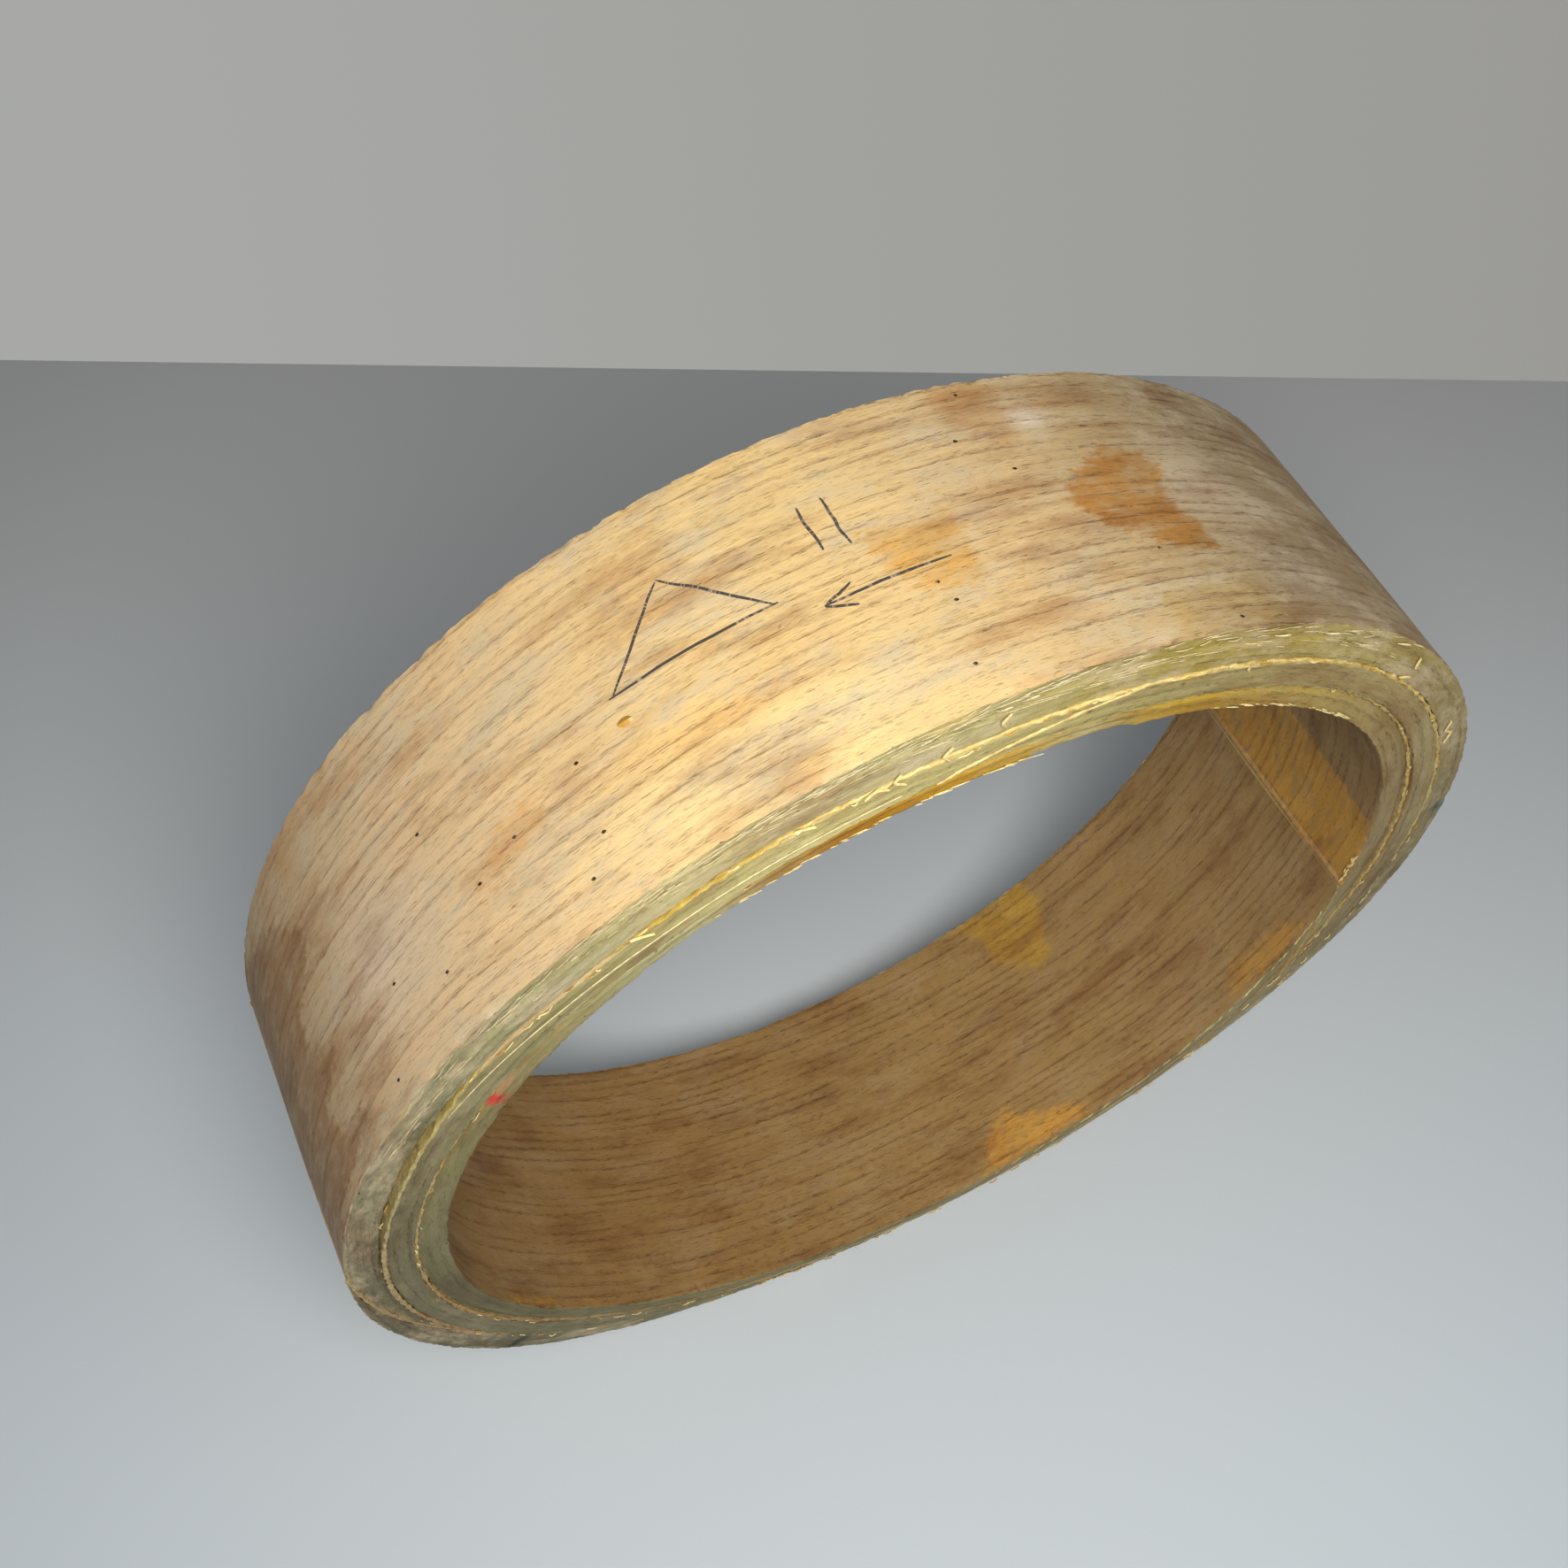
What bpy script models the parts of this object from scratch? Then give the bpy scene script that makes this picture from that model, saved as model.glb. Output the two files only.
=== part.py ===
"""Banjo rim blank: three steam-bent ash plies, glued up and left as they came off the form.

Each ply is one strip, bent to a ring and closed on itself by a long scarf joint. The three
scarfs are spread round the rim. A glue line fills the space between neighbouring plies, and
a film of the same glue closes each scarf. The inner ply's lapping end stays a little proud
of the bore, and past it the strip rises back to the bore over a short dressed stretch.

The rim stands on its side. +X is right, +Y runs along the rim's axis from the head face to
the back face, and +Z is up. The origin is on the ground below the middle of the rim.
Lengths are in metres. Angles are in degrees, round the rim from +X towards +Z.
"""

import math
from collections import namedtuple

import bmesh
import bpy

# The rim as glued up, before it is turned true
RIM_RADIUS = 0.1413
RIM_HEIGHT = 0.0699
OUTER_PLY_THICKNESS = 0.0081
MIDDLE_PLY_THICKNESS = 0.0066
INNER_PLY_THICKNESS = 0.0060

# Scarf joints: the length of each along its ply, and where its middle lies
OUTER_SCARF_LENGTH = 0.090
MIDDLE_SCARF_LENGTH = 0.060
INNER_SCARF_LENGTH = 0.075
OUTER_SCARF_ANGLE = 187.0
MIDDLE_SCARF_ANGLE = 86.0
INNER_SCARF_ANGLE = 344.0
BURIED_TIP_THICKNESS = 0.0005
LAP_TIP_THICKNESS = 0.0009
LAP_DRESSING_LENGTH = 0.032

# Glue: the film, its clearance to the wood, and the ridge squeezed out on both faces
GLUE_THICKNESS = 0.0004
SEAT_CLEARANCE = 0.0003
RIDGE_WIDTH = 0.0008
RIDGE_HEIGHT = 0.0006

# Roundness: the rim is a ring of flats, and one flat lies on the ground
FLATS = 96
FLAT_ANGLE = 360 / FLATS
GROUND_ANGLE = 270.0
FLAT_REACH = math.cos(math.radians(FLAT_ANGLE / 2))
SHORTEST_STEP = FLAT_ANGLE / 50
SHARP_EDGE = math.radians(20)

# Places that follow from the sizes above
JOINT_GAP = GLUE_THICKNESS + 2 * SEAT_CLEARANCE
AXIS_HEIGHT = RIM_RADIUS * FLAT_REACH
OUTER_PLY_BORE = RIM_RADIUS - OUTER_PLY_THICKNESS
MIDDLE_PLY_RADIUS = OUTER_PLY_BORE - JOINT_GAP
MIDDLE_PLY_BORE = MIDDLE_PLY_RADIUS - MIDDLE_PLY_THICKNESS
INNER_PLY_RADIUS = MIDDLE_PLY_BORE - JOINT_GAP
RIM_BORE = INNER_PLY_RADIUS - INNER_PLY_THICKNESS

# Colours are linear red, green and blue
OUTER_ASH = (0.64, 0.43, 0.22)
MIDDLE_ASH = (0.45, 0.36, 0.18)
INNER_ASH = (0.29, 0.19, 0.085)
DRY_GLUE = (0.55, 0.34, 0.07)
WOOD_ROUGHNESS = 0.65
GLUE_ROUGHNESS = 0.30

# A ply's surfaces, where its scarf starts and ends, and how its two tips are finished
Ply = namedtuple("Ply", "radius bore scarf_start scarf_end outer_tip inner_tip step")


def arc_angle(length, radius):
    """Angle that a length takes up round a circle."""
    return math.degrees(length / radius)


def clear_scene():
    for item in list(bpy.data.objects):
        bpy.data.objects.remove(item, do_unlink=True)


def plan_point(radius, angle):
    """Point in the rim's plane, on the flats that stand for a circle of this radius."""
    off_middle = (angle - GROUND_ANGLE + FLAT_ANGLE / 2) % FLAT_ANGLE - FLAT_ANGLE / 2
    reach = radius * FLAT_REACH / math.cos(math.radians(off_middle))
    turn = math.radians(angle)
    return reach * math.cos(turn), AXIS_HEIGHT + reach * math.sin(turn)


def angles_between(start, end):
    """The two angles, with each corner between neighbouring flats that lies between them."""
    low = min(start, end) + SHORTEST_STEP
    high = max(start, end) - SHORTEST_STEP
    first_corner = GROUND_ANGLE + FLAT_ANGLE / 2
    index = math.ceil((low - first_corner) / FLAT_ANGLE)
    corners = []
    while first_corner + index * FLAT_ANGLE < high:
        corners.append(first_corner + index * FLAT_ANGLE)
        index += 1
    if end < start:
        corners.reverse()
    return [start] + corners + [end]


def make_ply(radius, bore, scarf_length, scarf_angle, inner_tip, step):
    half_span = arc_angle(scarf_length, (radius + bore) / 2) / 2
    return Ply(radius, bore, scarf_angle - half_span, scarf_angle + half_span,
               BURIED_TIP_THICKNESS, inner_tip, step)


def scarf_radius(ply, angle):
    """The scarf's middle surface, which sinks from the ply's outside to its inside."""
    share = (angle - ply.scarf_start) / (ply.scarf_end - ply.scarf_start)
    return ply.radius - share * (ply.radius - ply.bore)


def scarf_angle_at(ply, radius):
    share = (ply.radius - radius) / (ply.radius - ply.bore)
    return ply.scarf_start + share * (ply.scarf_end - ply.scarf_start)


def tip_angles(ply):
    """Where the overlapping end's tip lies outside, and the lapping end's tip inside."""
    half_gap = JOINT_GAP / 2
    outer_tip = scarf_angle_at(ply, ply.radius - ply.outer_tip - half_gap)
    inner_tip = scarf_angle_at(ply, ply.bore + ply.inner_tip + half_gap)
    return outer_tip, inner_tip


def ply_outline(ply):
    """The bent strip in plan, once round from its outer tip and back to it along the bore."""
    half_gap = JOINT_GAP / 2
    outer_tip, inner_tip = tip_angles(ply)
    outer_nib = outer_tip - arc_angle(JOINT_GAP, ply.radius)
    inner_nib = inner_tip + arc_angle(JOINT_GAP, ply.bore)
    dressed = inner_nib + arc_angle(LAP_DRESSING_LENGTH, ply.bore) if ply.step else inner_nib
    turn = 360.0

    outline = []
    # The outside, from the outer tip round to the nib that meets it
    for angle in angles_between(outer_tip, outer_nib + turn):
        outline.append((ply.radius, angle))
    # The underside of the lapping end, down to the inner tip
    for angle in angles_between(outer_nib, inner_tip):
        outline.append((scarf_radius(ply, angle) - half_gap, angle + turn))
    # The bore, back round to the dressed stretch, which sinks towards the inner tip
    for angle in angles_between(inner_tip + turn, dressed):
        outline.append((ply.bore, angle))
    if ply.step:
        for angle in angles_between(dressed, inner_nib)[1:]:
            sunk = (dressed - angle) / (dressed - inner_nib)
            outline.append((ply.bore + sunk * ply.step, angle))
    # The scarf under the overlapping end, back up to the outer tip
    for angle in angles_between(inner_nib, outer_tip):
        outline.append((scarf_radius(ply, angle) + half_gap, angle))
    return outline


def finish_object(name, shape, colour, roughness):
    """Turn a bmesh into a named object with its own material, shaded smooth."""
    bmesh.ops.recalc_face_normals(shape, faces=shape.faces)
    mesh = bpy.data.meshes.new(name)
    shape.to_mesh(mesh)
    shape.free()
    mesh.shade_smooth()
    mesh.set_sharp_from_angle(angle=SHARP_EDGE)

    material = bpy.data.materials.new(name)
    material.use_nodes = True
    surface = material.node_tree.nodes["Principled BSDF"]
    surface.inputs["Base Color"].default_value = (*colour, 1.0)
    surface.inputs["Roughness"].default_value = roughness
    surface.inputs["Metallic"].default_value = 0.0
    mesh.materials.append(material)

    item = bpy.data.objects.new(name, mesh)
    bpy.context.scene.collection.objects.link(item)
    return item


def build_ply(name, ply, colour):
    """Draw the strip's outline on the head face and extrude it to the back face."""
    shape = bmesh.new()
    corners = []
    for radius, angle in ply_outline(ply):
        x, z = plan_point(radius, angle)
        corners.append(shape.verts.new((x, -RIM_HEIGHT / 2, z)))
    head_face = shape.faces.new(corners)
    extruded = bmesh.ops.extrude_face_region(shape, geom=[head_face])
    moved = [part for part in extruded["geom"] if isinstance(part, bmesh.types.BMVert)]
    bmesh.ops.translate(shape, vec=(0.0, RIM_HEIGHT, 0.0), verts=moved)
    return finish_object(name, shape, colour, WOOD_ROUGHNESS)


def glue_section():
    """Half widths and heights up the glue's cross-section, from one ridge to the other."""
    web = GLUE_THICKNESS / 2
    ridge = RIDGE_WIDTH / 2
    ridge_foot = RIM_HEIGHT / 2 + SEAT_CLEARANCE
    ridge_top = ridge_foot + RIDGE_HEIGHT
    side = [(web, ridge_foot), (ridge, ridge_foot), (ridge, (ridge_foot + ridge_top) / 2),
            (web, ridge_top)]
    upper_right = side
    lower_right = [(width, -height) for width, height in reversed(side)]
    right = lower_right + upper_right
    left = [(-width, height) for width, height in reversed(right)]
    return right + left


def build_glue(name, path, closed):
    """Sweep the glue's cross-section along a path of radii and angles in plan."""
    shape = bmesh.new()
    section = glue_section()
    loops = []
    for radius, angle in path:
        loop = []
        for offset, along in section:
            x, z = plan_point(radius + offset, angle)
            loop.append(shape.verts.new((x, along, z)))
        loops.append(loop)

    pairs = list(zip(loops, loops[1:]))
    if closed:
        pairs.append((loops[-1], loops[0]))
    else:
        shape.faces.new(loops[0])
        shape.faces.new(loops[-1])
    for near, far in pairs:
        for index in range(len(section)):
            following = (index + 1) % len(section)
            shape.faces.new((near[index], near[following], far[following], far[index]))
    return finish_object(name, shape, DRY_GLUE, GLUE_ROUGHNESS)


def build_glue_line(name, outer_bore):
    """Closed ring of glue between the ply that has this bore and the ply inside it."""
    radius = outer_bore - JOINT_GAP / 2
    corner = GROUND_ANGLE + FLAT_ANGLE / 2
    path = [(radius, corner + index * FLAT_ANGLE) for index in range(FLATS)]
    return build_glue(name, path, closed=True)


def build_scarf_glue(name, ply):
    """Film of glue in a scarf, between its outer and its inner tip."""
    path = []
    for angle in angles_between(*tip_angles(ply)):
        path.append((scarf_radius(ply, angle), angle))
    return build_glue(name, path, closed=False)


def build_rim():
    clear_scene()
    outer = make_ply(RIM_RADIUS, OUTER_PLY_BORE, OUTER_SCARF_LENGTH, OUTER_SCARF_ANGLE,
                     BURIED_TIP_THICKNESS, 0.0)
    middle = make_ply(MIDDLE_PLY_RADIUS, MIDDLE_PLY_BORE, MIDDLE_SCARF_LENGTH,
                      MIDDLE_SCARF_ANGLE, BURIED_TIP_THICKNESS, 0.0)
    inner = make_ply(INNER_PLY_RADIUS, RIM_BORE, INNER_SCARF_LENGTH, INNER_SCARF_ANGLE,
                     LAP_TIP_THICKNESS, LAP_TIP_THICKNESS)

    build_ply("outer_ply", outer, OUTER_ASH)
    build_ply("middle_ply", middle, MIDDLE_ASH)
    build_ply("inner_ply", inner, INNER_ASH)
    build_glue_line("outer_glue_line", OUTER_PLY_BORE)
    build_glue_line("inner_glue_line", MIDDLE_PLY_BORE)
    build_scarf_glue("outer_scarf_glue", outer)
    build_scarf_glue("middle_scarf_glue", middle)
    build_scarf_glue("inner_scarf_glue", inner)


build_rim()
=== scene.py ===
"""Looks of a banjo rim blank: three bent ash plies with raw edges, squeezed-out glue, stains and
pencil marks, standing on its side on a pale floor.

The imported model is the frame: +X is right, +Y runs along the rim's axis from the head face,
which the camera sees, to the back face, and +Z is up. Shapes are worked out in millimetres and
degrees. An angle goes round the rim from +X towards +Z, and "proud" is a height above the head
face's nominal plane, towards the camera.
"""

import math
from collections import namedtuple

import bmesh
import bpy
import numpy as np
from mathutils import Matrix, Vector


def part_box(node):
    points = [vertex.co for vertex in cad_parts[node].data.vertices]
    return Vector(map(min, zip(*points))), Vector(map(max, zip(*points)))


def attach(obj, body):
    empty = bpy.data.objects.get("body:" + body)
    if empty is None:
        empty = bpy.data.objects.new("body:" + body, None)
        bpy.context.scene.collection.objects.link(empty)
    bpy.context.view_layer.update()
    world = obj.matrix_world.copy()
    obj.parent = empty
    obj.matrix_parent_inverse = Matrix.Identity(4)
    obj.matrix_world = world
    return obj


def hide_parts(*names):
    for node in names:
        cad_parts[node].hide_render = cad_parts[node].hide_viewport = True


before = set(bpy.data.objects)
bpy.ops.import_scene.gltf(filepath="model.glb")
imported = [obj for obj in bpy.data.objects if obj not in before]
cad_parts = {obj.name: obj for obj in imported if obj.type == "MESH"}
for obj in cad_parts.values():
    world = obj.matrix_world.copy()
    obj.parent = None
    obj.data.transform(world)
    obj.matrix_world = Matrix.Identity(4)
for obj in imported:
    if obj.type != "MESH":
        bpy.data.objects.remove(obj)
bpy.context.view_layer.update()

MM = 0.001
PER_DEGREE = math.pi / 180
WHOLE_TURN = 360.0


# Sizes read from the frame

def node_corners(node):
    """How far right of the rim's axis, and above it, a node's corners lie in millimetres."""
    corners = np.array([vertex.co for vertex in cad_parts[node].data.vertices]) / MM
    return corners[:, 0], corners[:, 2] - AXIS_HEIGHT


def node_radii(node):
    """A node's least and greatest distance from the rim's axis."""
    reach = np.hypot(*node_corners(node))
    return reach.min(), reach.max()


def node_span(node):
    """The angles between which an open node lies, in degrees."""
    x, z = node_corners(node)
    angles = np.degrees(np.arctan2(z, x)) % WHOLE_TURN
    return angles.min(), angles.max()


OUTER_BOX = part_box("outer_ply")
AXIS_HEIGHT = (OUTER_BOX[0].z + OUTER_BOX[1].z) / 2 / MM
HALF_WIDTH = (OUTER_BOX[1].y - OUTER_BOX[0].y) / 2 / MM
RIM_RADIUS = AXIS_HEIGHT
OUTER_BORE = node_radii("outer_ply")[0]
MIDDLE_BORE, MIDDLE_RADIUS = node_radii("middle_ply")
RIM_BORE, INNER_RADIUS = node_radii("inner_ply")
OUTER_SCARF = node_span("outer_scarf_glue")
MIDDLE_SCARF = node_span("middle_scarf_glue")
INNER_SCARF = node_span("inner_scarf_glue")

# Half the width of the glue between two plies, and of the film in a scarf
GLUE_HALF = 0.30
FILM_HALF = 0.15

# The ply edges on the head face: (angle, radius)
RIM_EDGE = (
    (0, 140.9), (20, 140.7), (40, 141.0), (62, 141.8), (100, 141.9), (125, 141.5), (140, 141.8),
    (155, 141.0), (170, 140.6), (190, 141.2), (230, 141.2), (270, 141.2), (330, 141.2))
OUTER_LINE = (
    (0, 133.8), (20, 133.0), (40, 132.6), (60, 132.3), (80, 131.5), (100, 131.5), (110, 132.4),
    (125, 131.6), (136, 132.5), (180, 132.8), (200, 133.2), (230, 133.2), (270, 132.9),
    (330, 133.4))
INNER_LINE = (
    (0, 127.0), (15, 126.5), (35, 126.0), (55, 125.0), (75, 124.3), (100, 123.8), (118, 123.4),
    (135, 124.0), (157, 124.5), (180, 126.0), (200, 126.5), (230, 126.0), (270, 125.4),
    (330, 126.4))
BORE_EDGE = (
    (0, 118.9), (30, 119.3), (60, 118.6), (90, 118.1), (107, 118.7), (130, 118.3), (150, 118.1),
    (175, 118.6), (190, 119.4), (230, 119.2), (270, 118.8), (330, 118.8))

# How far each ply's edge stands proud of the head face: (angle, height)
OUTER_PROUD = (
    (0, 0.0), (90, 0.0), (180, 0.0), (220, -0.4), (250, -1.8), (290, -1.8), (330, -0.9),
    (350, -0.2))
MIDDLE_PROUD = ((0, 0.2), (90, 0.3), (180, 0.1), (220, 0.3), (250, 0.4), (290, 0.6), (330, 0.4))
INNER_PROUD = (
    (0, -0.3), (90, -0.6), (180, -0.1), (215, 0.7), (245, 2.1), (290, 2.4), (325, 1.5),
    (345, 0.2))

# Where the bore's edge was torn back at the top, and how deep
NOTCH_START = 76.0
NOTCH_END = 85.7
NOTCH_DEPTH = 1.1


# Maths

def linear(red, green, blue):
    """Linear colour from the 0 to 255 numbers of a screen colour."""
    channels = []
    for value in (red, green, blue):
        share = value / 255
        channels.append(share / 12.92 if share <= 0.04045 else ((share + 0.055) / 1.055) ** 2.4)
    return tuple(channels)


def tones(rows):
    """Points of (angle, linear colour) from rows of an angle and a screen colour."""
    return [(angle, linear(*colour)) for angle, *colour in rows]


def round_curve(points, angles):
    """Smooth closed curve through (angle, value) points, read at these angles."""
    turns = np.array([-WHOLE_TURN, 0.0, WHOLE_TURN])
    places, values = zip(*points)
    knots = (turns[:, None] + np.array(places, float)).ravel()
    values = np.concatenate([np.array(values, float)] * len(turns))
    slopes = np.gradient(values, knots, axis=0)
    where = np.mod(angles, WHOLE_TURN)
    index = np.searchsorted(knots, where, side="right") - 1
    gap = knots[index + 1] - knots[index]
    share = (where - knots[index]) / gap
    if values.ndim > 1:
        gap = gap[..., None]
        share = share[..., None]
    rise = share * share * (3 - 2 * share)
    leave = share * (1 - share) ** 2
    arrive = share * share * (share - 1)
    return (values[index] * (1 - rise) + values[index + 1] * rise
            + gap * (slopes[index] * leave + slopes[index + 1] * arrive))


def smooth_step(low, high, value):
    share = np.clip((value - low) / (high - low), 0.0, 1.0)
    return share * share * (3 - 2 * share)


LATTICE = 256
OCTAVES = 3


def lattice_noise(u, v, seed):
    """Smooth random values between -1 and 1, with one random height for each unit of u and v."""
    heights = np.random.default_rng(seed).uniform(-1.0, 1.0, (LATTICE, LATTICE))
    cell_u = np.floor(u).astype(int)
    cell_v = np.floor(v).astype(int)
    share_u = smooth_step(0.0, 1.0, u - cell_u)
    share_v = smooth_step(0.0, 1.0, v - cell_v)
    rows = []
    for step in (0, 1):
        left = heights[cell_u % LATTICE, (cell_v + step) % LATTICE]
        right = heights[(cell_u + 1) % LATTICE, (cell_v + step) % LATTICE]
        rows.append(left * (1 - share_u) + right * share_u)
    return rows[0] * (1 - share_v) + rows[1] * share_v


def rough_noise(u, v, seed):
    """Lattice noise with finer, weaker layers added."""
    total = 0.0
    for octave in range(OCTAVES):
        total = total + lattice_noise(u * 2 ** octave, v * 2 ** octave, seed + octave) / 2 ** octave
    return total


def signed_turn(angles, centre):
    """Angles measured from a centre, between -180 and 180 degrees."""
    return np.mod(angles - centre + 180.0, WHOLE_TURN) - 180.0


def depth_inside(outline, angles, heights, radius):
    """How far points lie inside a closed outline of (angle, height) points, in millimetres."""
    corners = np.array(outline, float)
    centre = corners[:, 0].mean()
    scale = radius * PER_DEGREE
    x = signed_turn(angles, centre) * scale
    y = heights
    corner_x = signed_turn(corners[:, 0], centre) * scale
    corner_y = corners[:, 1]
    nearest = np.full(x.shape, np.inf)
    inside = np.zeros(x.shape, bool)
    for index in range(len(corners)):
        x0, y0 = corner_x[index - 1], corner_y[index - 1]
        x1, y1 = corner_x[index], corner_y[index]
        run = (x1 - x0) ** 2 + (y1 - y0) ** 2
        share = np.clip(((x - x0) * (x1 - x0) + (y - y0) * (y1 - y0)) / run, 0.0, 1.0)
        away = np.hypot(x - x0 - share * (x1 - x0), y - y0 - share * (y1 - y0))
        nearest = np.minimum(nearest, away)
        if y0 != y1:
            crosses = ((y0 > y) != (y1 > y)) & (x < x0 + (y - y0) / (y1 - y0) * (x1 - x0))
            inside ^= crosses
    return np.where(inside, nearest, -nearest)


def blot(angles, heights, radius, centre, size, turn):
    """Soft oval spot: 1 at its centre and 0 past its size, (along, across) in millimetres."""
    x = signed_turn(angles, centre[0]) * radius * PER_DEGREE
    y = heights - centre[1]
    slant = math.radians(turn)
    along = (x * math.cos(slant) + y * math.sin(slant)) / size[0]
    across = (y * math.cos(slant) - x * math.sin(slant)) / size[1]
    return 1.0 - smooth_step(0.0, 1.0, np.hypot(along, across))


def place(radius, angle, y):
    """Points in metres, in the frame, from millimetres and degrees."""
    turn = np.radians(angle)
    x = radius * np.cos(turn)
    z = AXIS_HEIGHT + radius * np.sin(turn)
    return np.stack(np.broadcast_arrays(x, y, z), axis=-1) * MM


# Meshes

# Where two faces meet at more than this angle, the edge between them is sharp
SHARP_EDGE = 40.0


def add_object(name, data):
    """A new object in the scene."""
    item = bpy.data.objects.new(name, data)
    bpy.context.scene.collection.objects.link(item)
    return item


def make_piece(name, corners, faces, material, node, attributes):
    """A piece of the rim from its corners in metres and its faces, with named attributes."""
    mesh = bpy.data.meshes.new(name)
    mesh.from_pydata(corners.reshape(-1, 3).tolist(), [], faces)
    shape = bmesh.new()
    shape.from_mesh(mesh)
    bmesh.ops.recalc_face_normals(shape, faces=shape.faces)
    shape.to_mesh(mesh)
    shape.free()
    for key, values in attributes.items():
        kind, field = {1: ("FLOAT", "value"), 3: ("FLOAT_VECTOR", "vector"),
                       4: ("FLOAT_COLOR", "color")}[values.shape[-1]]
        layer = mesh.attributes.new(key, kind, "POINT")
        layer.data.foreach_set(field, values.astype(np.float32).ravel())
    mesh.materials.append(material)
    mesh.shade_smooth()
    mesh.set_sharp_from_angle(angle=math.radians(SHARP_EDGE))
    piece = add_object(name, mesh)
    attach(piece, "root")
    if node:
        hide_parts(node)


def opaque(colours):
    """Colours with a full alpha, as one row for each point."""
    return np.concatenate([colours, np.ones_like(colours[..., :1])], axis=-1).reshape(-1, 4)


def tube_faces(loops, section, closed):
    """Quads between neighbouring loops of points, with flat ends on an open tube."""
    corner = np.arange(section)
    following = (corner + 1) % section
    near = np.arange(loops if closed else loops - 1)[:, None] * section
    far = (near + section) % (loops * section)
    quads = (near + corner, near + following, far + following, far + corner)
    faces = np.stack(quads, axis=-1).reshape(-1, 4).tolist()
    if not closed:
        faces.append(corner[::-1].tolist())
        faces.append((corner + (loops - 1) * section).tolist())
    return faces


# Node trees

class Nodes:
    """Short calls that add nodes to a material or world and return their output sockets."""

    def __init__(self, owner):
        owner.use_nodes = True
        self.owner = owner
        self.tree = owner.node_tree

    def add(self, kind, inputs=None, output=0, **settings):
        node = self.tree.nodes.new("ShaderNode" + kind)
        for key, value in settings.items():
            setattr(node, key, value)
        for key, value in (inputs or {}).items():
            self.feed(node.inputs[key], value)
        return node.outputs[output]

    def feed(self, socket, value):
        if isinstance(value, bpy.types.NodeSocket):
            self.tree.links.new(value, socket)
        elif isinstance(value, tuple) and len(value) == 3 and len(socket.default_value) == 4:
            socket.default_value = (*value, 1.0)
        else:
            socket.default_value = value

    def attribute(self, name, output="Vector"):
        return self.add("Attribute", output=output, attribute_name=name)

    def math(self, operation, first, second=0.0, third=0.0):
        return self.add("Math", {0: first, 1: second, 2: third}, operation=operation)

    def times(self, first, second, plus=0.0):
        return self.math("MULTIPLY_ADD", first, second, plus)

    def noise(self, vector, factors, detail, roughness, offset=0.0):
        """Noise over a stretched vector, as a number around 0.5."""
        scaled = self.add("VectorMath", {0: vector, 1: factors}, operation="MULTIPLY")
        inputs = {"Vector": scaled, "Scale": 1.0, "Detail": detail, "Roughness": roughness,
                  "W": offset}
        return self.add("TexNoise", inputs, noise_dimensions="4D")

    def ramp(self, value, low, high, start=0.0, end=1.0):
        """Smooth step of a number from one range to another."""
        return self.add("MapRange", {"Value": value, "From Min": low, "From Max": high,
                                     "To Min": start, "To Max": end},
                        interpolation_type="SMOOTHSTEP")

    def mix(self, factor, first, second, blend="MIX"):
        """Mixed colour: factor 0 gives the first."""
        return self.add("Mix", {0: factor, 6: first, 7: second}, output=2, data_type="RGBA",
                        blend_type=blend, clamp_factor=True)

    def bump(self, height, depth):
        """Normal of a surface that rises by depth, in metres, where height goes from 0 to 1."""
        return self.add("Bump", {"Strength": 1.0, "Distance": depth, "Height": height})

    def shaded(self, colour, shade):
        """Colour times a number."""
        grey = self.add("CombineColor", {0: shade, 1: shade, 2: shade})
        return self.mix(1.0, colour, grey, "MULTIPLY")

    def finish(self, colour, roughness, normal, specular=0.5):
        """The material, once its surface has these inputs."""
        inputs = self.tree.nodes["Principled BSDF"].inputs
        self.feed(inputs["Base Color"], colour)
        self.feed(inputs["Roughness"], roughness)
        self.feed(inputs["Normal"], normal)
        self.feed(inputs["Specular IOR Level"], specular)
        return self.owner


# Materials

# Growth rings for each millimetre across a board, into it and along it
RING_ACROSS = 0.36
RING_DEEP = 0.40
RING_DRIFT = 0.0016
GRAIN_BROWN = linear(172, 118, 68)
PORE_BROWN = linear(150, 98, 56)
EDGE_BROWN = linear(96, 74, 44)
CHALK = linear(208, 190, 156)
BARE_ASH = linear(190, 164, 130)
GLUE_CLOUD = linear(176, 132, 52)
GLUE_CRAZING = linear(240, 226, 170)
GLUE_ROUGHNESS = 0.30
GLUE_SEED = 5.0
# How high the grain stands, in metres, on wood and on small or glued things
WOOD_RELIEF = 0.00011
GLUE_RELIEF = 0.00016
SMALL_RELIEF = 0.00005


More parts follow.
